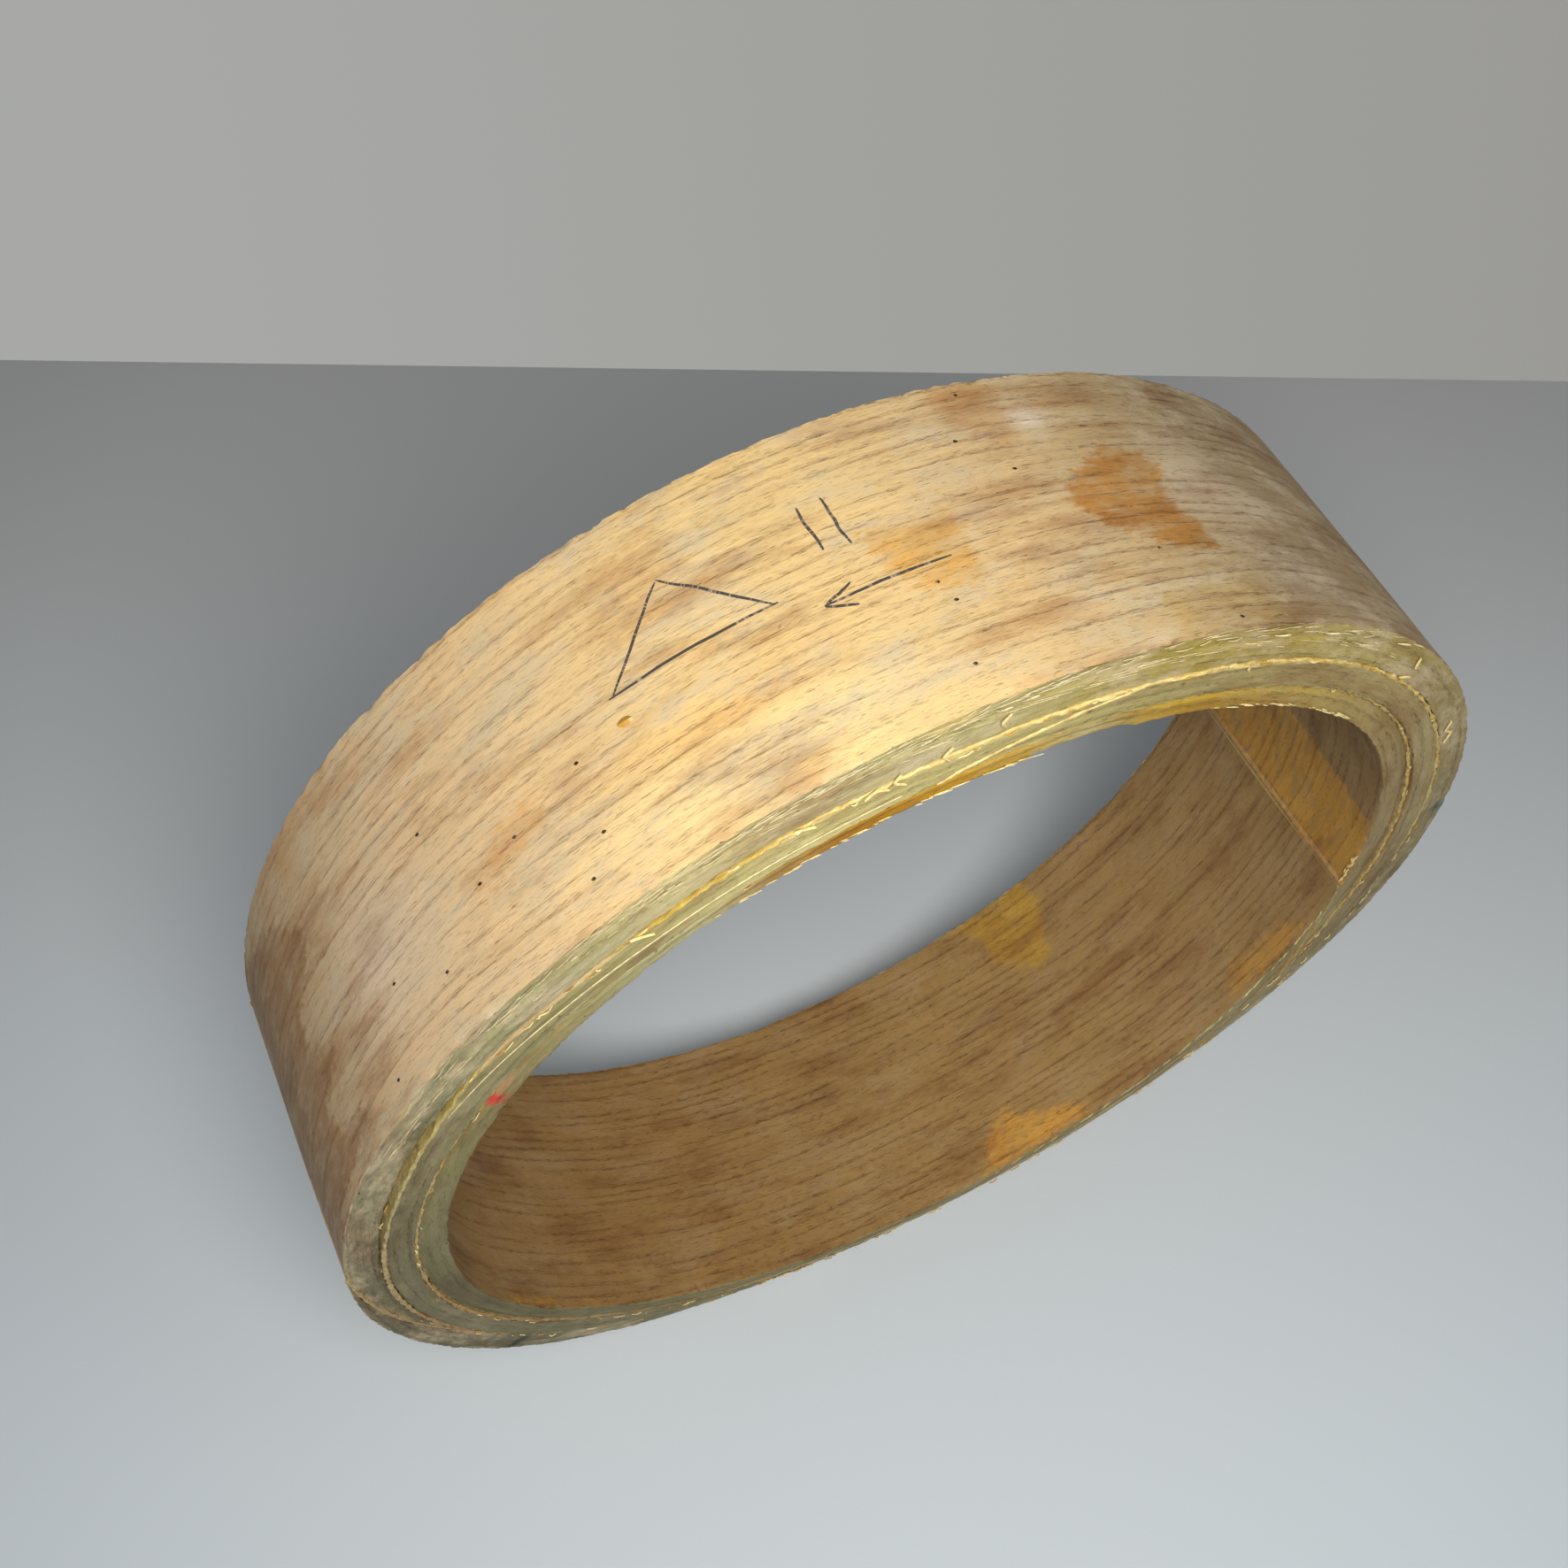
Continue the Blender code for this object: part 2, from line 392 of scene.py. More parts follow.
def wood_colour(nodes, seed, chalkiness):
    """Colour, grain height and stain of bare ash, from the board attributes of its mesh."""
    board = nodes.attribute("board")
    tint = nodes.attribute("tint", "Color")
    stain = nodes.attribute("stain", "Color")
    strength = nodes.attribute("stain", "Alpha")
    depth = nodes.attribute("depth", "Fac")
    edge = nodes.attribute("edge", "Fac")

    # Growth rings, as lines of equal depth in the board that wander along it
    wander = nodes.noise(board, (0.010, 0.05, 0.05), 2.0, 0.5, seed)
    lengthwise = nodes.add("VectorMath", {0: board, 1: (RING_DRIFT, RING_ACROSS, RING_DEEP)},
                           output="Value", operation="DOT_PRODUCT")
    rings = nodes.times(wander, 2.4, lengthwise)
    phase = nodes.math("FRACT", rings)
    early = nodes.times(nodes.ramp(phase, 0.0, 0.10), nodes.ramp(phase, 0.62, 0.16))
    patchy = nodes.ramp(nodes.noise(board, (0.03, 0.5, 0.5), 1.0, 0.5, seed + 9), 0.35, 0.62)
    early = nodes.times(early, patchy)

    # Pores: short brown dashes, thickest in the early wood
    dashes = nodes.noise(board, (0.34, 8.5, 8.5), 2.0, 0.6, seed + 3)
    threshold = nodes.times(early, -0.09, 0.62)
    pores = nodes.ramp(nodes.math("SUBTRACT", dashes, threshold), 0.0, 0.07)

    # Fine fibres and slow mottling
    fibres = nodes.noise(board, (0.30, 9.0, 9.0), 3.0, 0.7, seed + 5)
    mottle = nodes.noise(board, (0.05, 0.16, 0.30), 3.0, 0.55, seed + 7)
    shade = nodes.times(fibres, 0.62, 0.69)
    shade = nodes.times(shade, nodes.times(mottle, 0.36, 0.82))
    plain = nodes.shaded(tint, shade)
    chalky = nodes.noise(board, (0.045, 0.10, 0.10), 6.0, 0.72, seed + 17)
    plain = nodes.mix(nodes.ramp(chalky, 0.44, 0.66, 0.0, chalkiness), plain, CHALK)
    brown = nodes.noise(board, (0.03, 0.12, 0.12), 5.0, 0.66, seed + 19)
    plain = nodes.mix(nodes.ramp(brown, 0.46, 0.68, 0.0, 0.48), plain, GRAIN_BROWN, "MULTIPLY")
    toned = nodes.mix(nodes.times(early, 0.17), plain, GRAIN_BROWN, "MULTIPLY")
    toned = nodes.mix(nodes.times(pores, 0.46), toned, PORE_BROWN, "MULTIPLY")

    # Sawn edges have dark pits
    pits = nodes.noise(board, (0.55, 1.6, 1.6), 2.0, 0.55, seed + 11)
    pits = nodes.times(nodes.ramp(pits, 0.66, 0.76), edge)
    toned = nodes.mix(nodes.times(pits, 0.6), toned, EDGE_BROWN, "MULTIPLY")

    # Stains have a ragged outline and are cloudy inside
    ragged = nodes.noise(board, (0.35, 0.6, 0.6), 4.0, 0.65, seed + 13)
    reach = nodes.times(nodes.math("SUBTRACT", ragged, 0.5), 11.0, depth)
    soaked = nodes.times(nodes.ramp(reach, -0.9, 2.6), strength)
    cloud = nodes.noise(board, (0.10, 0.30, 0.30), 3.0, 0.6, seed + 15)
    deep = nodes.times(soaked, nodes.ramp(cloud, 0.25, 0.60, 0.35, 1.25))
    stained = nodes.mix(deep, toned, nodes.mix(1.0, toned, stain, "MULTIPLY"))

    height = nodes.times(pores, -0.8, fibres)
    height = nodes.times(pits, -1.5, height)
    return stained, height, soaked, edge


def make_ash(name, seed, chalkiness):
    """Raw ash, dry and matt where bare and satin where glue soaked in."""
    nodes = Nodes(bpy.data.materials.new(name))
    colour, height, soaked, edge = wood_colour(nodes, seed, chalkiness)
    tooth = nodes.noise(nodes.attribute("board"), (1.1, 1.8, 1.8), 3.0, 0.6, seed + 21)
    height = nodes.times(nodes.times(tooth, edge), 1.6, height)
    roughness = nodes.times(soaked, -0.24, 0.72)
    return nodes.finish(colour, roughness, nodes.bump(height, WOOD_RELIEF), 0.32)


def make_glue():
    """Dried glue, from cream where it is thin or crazed to amber where it is thick."""
    nodes = Nodes(bpy.data.materials.new("dry_glue"))
    where = nodes.attribute("board")
    tint = nodes.attribute("tint", "Color")
    cloudy = nodes.noise(where, (0.5, 1.2, 1.2), 3.0, 0.6, GLUE_SEED)
    grit = nodes.noise(where, (2.2, 3.0, 3.0), 2.0, 0.6, GLUE_SEED + 2)
    colour = nodes.mix(nodes.ramp(cloudy, 0.3, 0.7, 0.0, 0.5), tint, GLUE_CLOUD, "MULTIPLY")
    colour = nodes.mix(nodes.ramp(grit, 0.5, 0.75, 0.0, 0.4), colour, GLUE_CRAZING)
    shine = nodes.ramp(cloudy, 0.3, 0.7, GLUE_ROUGHNESS, GLUE_ROUGHNESS + 0.25)
    return nodes.finish(colour, shine, nodes.bump(grit, GLUE_RELIEF))


# Plies

# One bent strip. Its outside and inside follow curves at the head face and bare radii past it,
# less a gap for glue. Then come the scarf's two angles, the thickness of its tips, the step at
# the bore, how proud the head edge is, and the seed of its noise
Strip = namedtuple("Strip", "name outer inner bare_outer bare_inner outer_gap inner_gap scarf"
                            " tip step proud seed")

STATIONS = 940
WALL_ROWS = 38
EDGE_COLUMNS = 18
BACK_COLUMNS = 10
# How strongly a wall's rows crowd towards its rims, from 0 to 1
ROW_CROWDING = 0.75
CORNER = 0.30
WAVE_DEPTH = 0.10
TORN_DEPTH = 0.55
FADE_FROM_HEAD = 30.0
DRESSED_LENGTH = 32.0
OUTSIDE, HEAD, BORE, BACK = range(4)


def head_share(y):
    """1 at the head face, falling to 0 across the rim's width."""
    return 1.0 - smooth_step(-HALF_WIDTH, -HALF_WIDTH + FADE_FROM_HEAD, y)


def section_layout():
    """Side, and share of the way across it, for each point round a ply's section."""
    rows = np.linspace(0.0, 1.0, WALL_ROWS)
    rows = rows - ROW_CROWDING * np.sin(2 * math.pi * rows) / (2 * math.pi)
    sides = []
    shares = []
    for side, steps in ((HEAD, np.linspace(0, 1, EDGE_COLUMNS)), (OUTSIDE, rows),
                        (BACK, np.linspace(0, 1, BACK_COLUMNS)), (BORE, rows)):
        sides.extend([side] * len(steps))
        shares.extend(steps)
    return np.array(sides), np.array(shares)


def strip_radii(strip, angles, y):
    """Radii of a strip's outside and inside at these stations, scarf included."""
    shift = head_share(y)
    outer = strip.bare_outer + shift * (round_curve(strip.outer, angles) - strip.bare_outer)
    inner = strip.bare_inner + shift * (round_curve(strip.inner, angles) - strip.bare_inner)
    outer = outer - strip.outer_gap
    inner = inner + strip.inner_gap
    start, end = strip.scarf
    first = (angles - start) / (end - start)
    second = (angles - WHOLE_TURN - start) / (end - start)
    slope = outer - inner
    begun = outer - np.clip(first, 0.0, 1.0) * slope + FILM_HALF
    ended = outer - np.clip(second, 0.0, 1.0) * slope - FILM_HALF
    low = np.where(first < 1.0, np.maximum(begun, inner), inner)
    high = np.where(second > 0.0, np.minimum(ended, outer), outer)
    low = np.minimum(low, outer - strip.tip / 2)
    high = np.maximum(high, inner + strip.tip)
    if strip.step:
        past = (angles - end) * strip.bare_inner * PER_DEGREE
        low = np.where(angles < end + 180.0, low + strip.step
                       * (1 - smooth_step(0.0, DRESSED_LENGTH, past)) * (past >= 0), low)
    return high, low


def strip_grid(strip):
    """Angles, radii, heights y and sides of all points of a strip, station by station."""
    sides, shares = section_layout()
    start, end = strip.scarf
    stations = np.linspace(start, end + WHOLE_TURN, STATIONS)
    angles = np.repeat(stations[:, None], len(sides), axis=1)
    share = np.repeat(shares[None, :], STATIONS, axis=0)
    side = np.repeat(sides[None, :], STATIONS, axis=0)

    proud = round_curve(strip.proud, angles)
    head_y = -HALF_WIDTH - proud
    back_y = HALF_WIDTH + 0.25 * rough_noise(angles / 9.0, angles * 0.0, strip.seed + 40)
    corner = CORNER * (1.0 + 0.8 * rough_noise(angles * 1.6, share * 0.0 + side, strip.seed + 41))
    corner = np.clip(corner, 0.06, 0.7)
    run = back_y - head_y - 2 * corner
    y = np.select([side == HEAD, side == OUTSIDE, side == BACK],
                  [head_y, head_y + corner + share * run, back_y],
                  back_y - corner - share * run)
    high, low = strip_radii(strip, angles, y)
    inset = np.minimum(corner, 0.3 * (high - low))
    span = high - low - 2 * inset
    radius = np.select([side == HEAD, side == OUTSIDE, side == BACK],
                       [low + inset + share * span, high, high - inset - share * span], low)
    return angles, radius, y, side, share


def wall_waves(strip, along, y):
    """How far a strip's walls swell, at these lengths along it."""
    return WAVE_DEPTH * lattice_noise(along / 45.0, y / 24.0, strip.seed + 6)


def strip_relief(strip, angles, radius, y, side, share):
    """Moves a strip's points by what saw, wear and tearing did to them."""
    along = angles * strip.bare_outer * PER_DEGREE
    edge = (side == HEAD) | (side == BACK)
    sawn = 0.07 * rough_noise(along / 2.2, radius / 0.9, strip.seed)
    sawn += 0.10 * lattice_noise(along / 14.0, radius / 2.6, strip.seed + 5)
    sawn += 0.05 * np.sin(2 * math.pi * radius * RING_DEEP)
    y = y + np.where(side == HEAD, sawn, 0.0) - np.where(side == BACK, sawn, 0.0)

    # The walls are gently uneven, and their rims ragged
    uneven = wall_waves(strip, along, y)
    wall = np.where(side == OUTSIDE, uneven, np.where(side == BORE, -uneven, 0.0))
    rim = np.clip(1.0 - (HALF_WIDTH - np.abs(y)) / 1.6, 0.0, 1.0)
    torn = np.clip(rough_noise(along / 2.6, side * 7.3, strip.seed + 8) - 0.15, 0.0, 1.0)
    near_corner = np.where(edge, np.maximum(0.0, 1 - 6 * np.minimum(share, 1 - share)), rim)
    inward = np.where((side == OUTSIDE) | (edge & (share > 0.5)), -1.0, 1.0)
    inward = np.where(side == BACK, -inward, inward)
    radius = radius + wall + inward * TORN_DEPTH * torn * near_corner
    return radius, y


def build_strip(strip, paint, material):
    """One ply, with the attributes that its material reads."""
    angles, radius, y, side, share = strip_grid(strip)
    radius, y = strip_relief(strip, angles, radius, y, side, share)
    radius, y = paint.shape(strip, angles, radius, y, side, share)

    deep = strip.bare_outer - radius
    along = angles * strip.bare_outer * PER_DEGREE
    edge = ((side == HEAD) | (side == BACK)).astype(float)
    tint, stain, strength, depth = paint.colours(strip, angles, radius, y, side)
    attributes = {
        "board": np.stack([along, y, deep], axis=-1).reshape(-1, 3),
        "tint": opaque(tint),
        "stain": np.concatenate([stain, strength[..., None]], axis=-1).reshape(-1, 4),
        "depth": depth.reshape(-1, 1),
        "edge": edge.reshape(-1, 1),
    }
    faces = tube_faces(STATIONS, angles.shape[1], closed=False)
    make_piece(strip.name + "_ply_board", place(radius, angles, y), faces, material,
               strip.name + "_ply", attributes)


# How much of its tint each kind of surface keeps. On the head face this is partly the yellower,
# duller tone of sawn end grain and partly painted shade, as the light only grazes that face
HEAD_TONE_AND_SHADE = np.array((0.72, 0.72, 0.60))
WALL_TONE_AND_BORE_SHADE = {OUTSIDE: np.array((1.0, 0.98, 0.84)),
             # The bore's factor is painted shade: the whole bore is darkened where the ring shades
             # it
             BORE: np.array((0.70, 0.64, 0.45))}
# A stain's depth where no stain is near, and how far outside its outline it is still worked out
NO_STAIN = -9.0
STAIN_FRINGE = -7.0


class Paint:
    """How one ply's shape and colours differ from plain ash. Each ply has its own kind.

    Tints are rows of an angle and a screen colour. Each kind has its own head face tints; besides
    the wood's tone they hold painted light, lighter at the top and darker on the left and bottom.
    """

    wall_tints_and_shade = {OUTSIDE: ((0, 214, 184, 142),), BORE: ((0, 186, 152, 108),)}
    back_tint = linear(196, 172, 126)
    # Stains on each side: outline of (angle, y or radius), colour to multiply by, and strength
    stains = {}
    # Soft spots on each side: centre (angle, y or radius), size (along, across), screen colour,
    # strength and turn
    spots = {}

    def shape(self, strip, angles, radius, y, side, share):
        return radius, y

    def colours(self, strip, angles, radius, y, side):
        tint = np.zeros(angles.shape + (3,))
        tint[:] = self.back_tint
        head = side == HEAD
        # The head face's tints and tone carry painted shade as well as the sawn edge's own colour
        tint[head] = HEAD_TONE_AND_SHADE * round_curve(tones(self.head_tints_and_shade), angles[head])
        # Walls keep part of their tints; the outside's tints carry painted light and the bore's
        # tone is painted shade
        for wall, tints in self.wall_tints_and_shade.items():
            at = side == wall
            tint[at] = WALL_TONE_AND_BORE_SHADE[wall] * round_curve(tones(tints), angles[at])

        stain = np.ones(angles.shape + (3,))
        strength = np.zeros(angles.shape)
        depth = np.full(angles.shape, NO_STAIN)
        for at, across, rows in self.sided(self.stains, radius, y, side):
            for outline, colour, amount in rows:
                inside = np.full(angles.shape, NO_STAIN)
                inside[at] = depth_inside(outline, angles[at], across, strip.bare_outer)
                deeper = (inside > depth) & (inside > STAIN_FRINGE)
                depth[deeper] = inside[deeper]
                stain[deeper] = colour
                strength[deeper] = amount

        # Spots are marks and patches on the wood; two on the outside are a painted highlight
        for at, across, rows in self.sided(self.spots, radius, y, side):
            for centre, size, colour, amount, turn in rows:
                weight = amount * blot(angles[at], across, strip.bare_outer, centre, size, turn)
                weight = weight[:, None]
                tint[at] = tint[at] * (1 - weight) + np.array(linear(*colour)) * weight
        return tint, stain, strength, depth

    def sided(self, table, radius, y, side):
        """Each side's points, their place across it, and its rows in a table."""
        for place_side, rows in table.items():
            at = side == place_side
            yield at, (radius if place_side == HEAD else y)[at], rows


ORANGE = linear(238, 198, 138)
STRAW = linear(252, 226, 172)
WET = linear(214, 194, 164)
OLIVE = linear(238, 222, 146)
AMBER = linear(252, 222, 134)
# Glue in the bore is paler than the wood below it, whose tint carries painted shade, so these are
# above 1
BORE_AMBER = (1.55, 1.30, 0.62)
BORE_OLIVE = (1.30, 1.22, 0.55)


# The band of the outer ply's edge that tore out: where it starts, and how much lower it is
LEDGE_RADIUS = 137.2
LEDGE_WIDTH = 0.8
LEDGE_DROP = 0.35
# How far the inner ply's rounded shoulder drops
SHOULDER_DROP = 0.9


class OuterPaint(Paint):
    # Head tints: the edge's own tone with painted light, lighter at the top and darker on the left
    # and at the bottom
    head_tints_and_shade = (
        (0, 166, 150, 112), (30, 180, 160, 112), (50, 194, 174, 108), (80, 196, 176, 104),
        (92, 214, 202, 148), (115, 222, 208, 156), (128, 190, 182, 136), (145, 150, 148, 116),
        (165, 146, 138, 112), (190, 132, 126, 100), (230, 146, 140, 110), (300, 166, 156, 118))
    # The outside's tints are partly the wood's tone and partly painted light: lightest near 105
    # degrees, where the lamp faces it, and darker towards 40 to 60 degrees and past 160
    wall_tints_and_shade = {OUTSIDE: (
        (0, 196, 170, 138), (40, 176, 150, 118), (60, 168, 146, 114), (80, 216, 186, 142),
        (105, 236, 204, 150), (120, 230, 198, 154), (135, 222, 192, 156), (160, 190, 160, 126),
        (200, 196, 168, 132), (270, 206, 178, 140), (330, 204, 176, 138),
    ), BORE: (
        (0, 180, 150, 108),
    )}
    stains = {OUTSIDE: (
        (((64.5, 8), (67, 13), (70, 14), (74, 8), (76.5, 1), (74.5, -6), (71, -13), (66, -16),
          (65, -10), (67, -2)), ORANGE, 0.85),
        (((76, 35), (81.5, 35), (81, 24), (77.5, 14), (75.5, 22)), ORANGE, 0.3),
        (((84.8, 6), (92.5, 8), (92, -2), (90, -11), (85.3, -11)), STRAW, 0.75),
        (((120.8, -4), (125.5, -5), (127.5, -10), (130, -17), (121, -13)), ORANGE, 0.42),
        (((64, -22), (75, -23), (75.3, -35), (63, -35)), OLIVE, 0.4),
        (((147.5, 13), (150, 17), (153, 24), (168, 36), (173, 0), (170, -36), (148, -30),
          (147.5, -26.4), (153.5, -23), (155, -17), (149, -12.5), (151, -8.6), (154.5, -2),
          (154, 2.4), (150, 6.5)), WET, 0.8),
    ), HEAD: (
        (((171, 141.3), (176, 140.0), (181, 138.6), (187, 136.9), (192, 135.8), (198, 134.8),
          (204, 134.2), (204, 133.2), (195, 133.6), (187, 134.8), (180, 137.0), (171, 140.2)),
          AMBER, 0.9),
    )}
    spots = {OUTSIDE: (
        # The first two spots are a painted highlight: the pool of light at the top of the outside,
        # near the head face
        ((106, -24), (60, 16), (250, 222, 158), 0.75, 0),
        ((108, -13), (36, 8), (242, 196, 122), 0.75, 0),
        ((62, 2), (22, 20), (226, 206, 176), 0.45, 0),
        ((74.5, 23), (8, 5), (236, 224, 204), 0.7, 0),
        ((140, -8), (26, 24), (232, 210, 184), 0.55, 0),
        ((140, -3), (12, 4), (150, 122, 92), 0.55, 0),
        ((144, 30), (36, 9), (196, 156, 108), 0.7, 0),
        ((58, -22), (22, 14), (176, 158, 134), 0.5, 0),
        ((45, 31), (16, 2.4), (150, 104, 62), 0.8, 0),
        ((59, 31), (10, 2.0), (150, 104, 62), 0.8, -26),
        ((70, 26.5), (22, 2.2), (158, 112, 68), 0.75, -5),
    ), HEAD: (
        ((115, 140), (40, 2.4), (236, 218, 158), 0.7, 0),
        ((94, 140.2), (9, 1.9), (236, 206, 128), 0.8, 0),
        ((144, 140.8), (10, 1.6), (212, 202, 128), 0.8, 0),
        ((213.5, 138.4), (2.8, 7.0), (46, 44, 30), 1.0, 12),
        ((5, 139), (4.0, 3.6), (58, 92, 88), 1.0, 30),
        ((155.4, 134.2), (1.0, 2.6), (84, 76, 52), 0.8, 10),
    )}

    def shape(self, strip, angles, radius, y, side, share):
        # The outermost band of the head edge tore out lower than the rest
        start = LEDGE_RADIUS + 0.7 * rough_noise(angles / 2.5, angles * 0.0, strip.seed + 60)
        band = smooth_step(start, start + LEDGE_WIDTH, radius)
        turn = angles - WHOLE_TURN
        gate = smooth_step(40, 55, turn) * (1 - smooth_step(150, 165, turn))
        y = y + np.where(side == HEAD, LEDGE_DROP * band * gate, 0.0)
        return radius, y


class MiddlePaint(Paint):
    # Head tints: the edge's own tone with painted light, lighter at the top and darker on the left
    # and at the bottom
    head_tints_and_shade = (
        (0, 180, 160, 120), (40, 196, 174, 124), (70, 190, 172, 116), (110, 226, 212, 152),
        (135, 166, 156, 112), (160, 150, 140, 106), (185, 140, 132, 104), (230, 150, 142, 110),
        (300, 180, 168, 132))
    spots = {HEAD: (
        ((161.5, 130.2), (3.6, 2.6), (92, 84, 62), 0.8, 20),
        ((167, 129), (3.4, 2.0), (112, 104, 78), 0.6, 0),
        ((122, 125), (8, 1.8), (150, 132, 100), 0.6, 0),
        ((144, 130.8), (5, 1.2), (212, 200, 130), 0.7, 0),
        ((81.5, 128.6), (1.0, 0.8), (40, 30, 18), 1.0, 0),
        ((72.8, 129.6), (0.8, 0.6), (40, 30, 18), 1.0, 0),
        ((69.5, 127.8), (0.7, 0.6), (90, 70, 44), 0.9, 0),
    )}


class InnerPaint(Paint):
    # Head tints: the edge's own tone with painted light, lighter at the top and darker on the left
    # and at the bottom
    head_tints_and_shade = (
        (0, 176, 152, 112), (40, 190, 164, 108), (58, 204, 176, 96), (75, 210, 180, 92),
        (80, 200, 182, 128), (86, 216, 184, 100), (107, 202, 164, 84), (113, 206, 190, 140),
        (135, 168, 154, 104), (160, 150, 142, 102), (190, 136, 128, 96), (230, 150, 142, 104),
        (300, 178, 168, 132), (340, 176, 158, 118))
    wall_tints_and_shade = {OUTSIDE: (
        (0, 180, 150, 108),
    ), BORE: (
        (0, 180, 150, 112), (200, 178, 142, 98), (250, 184, 148, 100), (290, 196, 162, 114),
        (340, 186, 154, 114),
    )}
    stains = {BORE: (
        (((294.5, 35), (298.7, 27), (298.5, 19), (300, 13.5), (302.8, 10), (305, 8), (307.3, 10),
          (308, 18), (310, 24), (309, 35)), BORE_OLIVE, 1.0),
        (((353.4, 36), (370.3, 36), (370.3, -5), (369, -20), (367.6, -36), (353.4, -36)),
          BORE_AMBER, 0.85),
        (((282, -37), (284, -30), (287, -24), (289, -22), (291, -25), (294, -29), (297, -30),
          (299.5, -33), (300, -37)), BORE_AMBER, 1.0),
        (((329, -27), (340, -28), (346, -35), (326, -35)), BORE_AMBER, 0.6),
        (((201, -32), (211, -32.5), (212, -36), (200, -36)), BORE_OLIVE, 0.8),
    ), HEAD: (
        (((55, 117), (55, 123), (76, 122.5), (75.8, 117)), AMBER, 0.35),
        (((85.8, 117), (85.8, 122), (104, 123), (111.5, 122), (111.5, 117)), AMBER, 0.5),
    )}
    spots = {HEAD: (
        ((143.8, 122.2), (3.2, 4.6), (206, 24, 22), 1.0, 0),
        ((141.6, 122.2), (5.0, 2.0), (196, 120, 92), 0.45, 0),
        ((63.5, 123.8), (1.6, 0.7), (40, 28, 14), 1.0, 0),
    ), BORE: (
        ((281.8, -31), (1.4, 1.0), (92, 66, 34), 0.8, 0),
        ((267, -18), (2.4, 5.0), (140, 108, 66), 0.5, 0),
        ((322, 10), (5, 2), (150, 122, 52), 0.5, 0),
        ((328, -3), (7, 2.2), (156, 128, 56), 0.5, 0),
    )}

    def shape(self, strip, angles, radius, y, side, share):
        # The shoulder next to the middle ply is rounded off
        near = smooth_step(0.62, 1.0, share)
        y = y + np.where(side == HEAD, SHOULDER_DROP * near, 0.0)
        # The bore's rim tore back between two cuts
        turn = angles - WHOLE_TURN
        torn = smooth_step(NOTCH_START - 1.4, NOTCH_START + 0.6, turn) * (turn < NOTCH_END)
        close = np.clip(1.0 - (HALF_WIDTH - 1.0 + y) / 3.0, 0.0, 1.0)
        at_rim = np.where(side == HEAD, 1.0 - share, close * (side == BORE))
        radius = radius + NOTCH_DEPTH * torn * at_rim * (y < 0)
        return radius, y


OUTER_GLUE_RADIUS = (OUTER_BORE + MIDDLE_RADIUS) / 2
INNER_GLUE_RADIUS = (MIDDLE_BORE + INNER_RADIUS) / 2
OUTER_STRIP = Strip("outer", RIM_EDGE, OUTER_LINE, RIM_RADIUS, OUTER_GLUE_RADIUS, 0.0, GLUE_HALF,
                    OUTER_SCARF, 0.5, 0.0, OUTER_PROUD, 100)
MIDDLE_STRIP = Strip("middle", OUTER_LINE, INNER_LINE, OUTER_GLUE_RADIUS, INNER_GLUE_RADIUS,
                     GLUE_HALF, GLUE_HALF, MIDDLE_SCARF, 0.5, 0.0, MIDDLE_PROUD, 200)
INNER_STRIP = Strip("inner", INNER_LINE, BORE_EDGE, INNER_GLUE_RADIUS, RIM_BORE, GLUE_HALF, 0.0,
                    INNER_SCARF, 0.9, 0.9, INNER_PROUD, 300)


def build_plies():
    build_strip(OUTER_STRIP, OuterPaint(), make_ash("outer_ash", 1.0, 0.74))
    build_strip(MIDDLE_STRIP, MiddlePaint(), make_ash("middle_ash", 31.0, 0.25))
    build_strip(INNER_STRIP, InnerPaint(), make_ash("inner_ash", 61.0, 0.12))


# Glue

WEB_ROWS = 12
LINE_STATIONS = 1400
FILM_STATIONS = 160
BEAD = 0.42
# How far the glue stands above the lower of its two plies: (angle, height)
OUTER_BEAD = (
    (0, 0.1), (60, 0.2), (90, 0.45), (104, 0.3), (122, 0.2), (127, -1.0), (135, -1.0), (139, 0.1),
    (200, 0.1), (270, 0.0), (330, 0.0))
INNER_BEAD = ((0, 0.0), (40, 0.0), (62, 0.15), (75, 0.3), (110, 0.1), (180, 0.0), (270, 0.0))
GLUE_TINTS = (
    (0, 196, 176, 104), (50, 214, 192, 102), (84, 238, 216, 140), (100, 234, 212, 132),
    (110, 212, 186, 96), (160, 180, 166, 108), (190, 166, 132, 62), (260, 150, 134, 88),
    (330, 176, 156, 92))


def build_glue(piece, node, angles, head_radius, bare_radius, top, web, bead, material, closed):
    """Glue between two boards along a path, with a ragged bead on both faces."""
    back = HALF_WIDTH - 0.2
    foot = -HALF_WIDTH - top + 0.8
    sides = [(bead * 0.5, HALF_WIDTH + 0.9 * bead), (bead, HALF_WIDTH + 0.5 * bead),
             (bead, HALF_WIDTH - 0.05 + 0.0 * angles)]
    sides += [(web + 0.0 * angles, back + share * (foot - back))
              for share in np.linspace(0.0, 1.0, WEB_ROWS)]
    sides += [(bead, foot - 0.35), (bead, foot - 0.60), (bead * 0.5, foot - 0.80)]
    columns = sides + [(-offset, y) for offset, y in reversed(sides)]
    offsets = np.stack([offset for offset, y in columns], axis=-1)
    y = np.stack([y for offset, y in columns], axis=-1)
    spread = np.repeat(angles[:, None], len(columns), axis=1)
    radius = bare_radius + head_share(y) * (head_radius[:, None] - bare_radius) + offsets
    along = spread * RIM_RADIUS * PER_DEGREE
    attributes = {"board": np.stack([along, y, offsets], axis=-1).reshape(-1, 3),
                  "tint": opaque(round_curve(tones(GLUE_TINTS), spread))}
    faces = tube_faces(len(angles), len(columns), closed)
    make_piece(piece, place(radius, spread, y), faces, material, node, attributes)


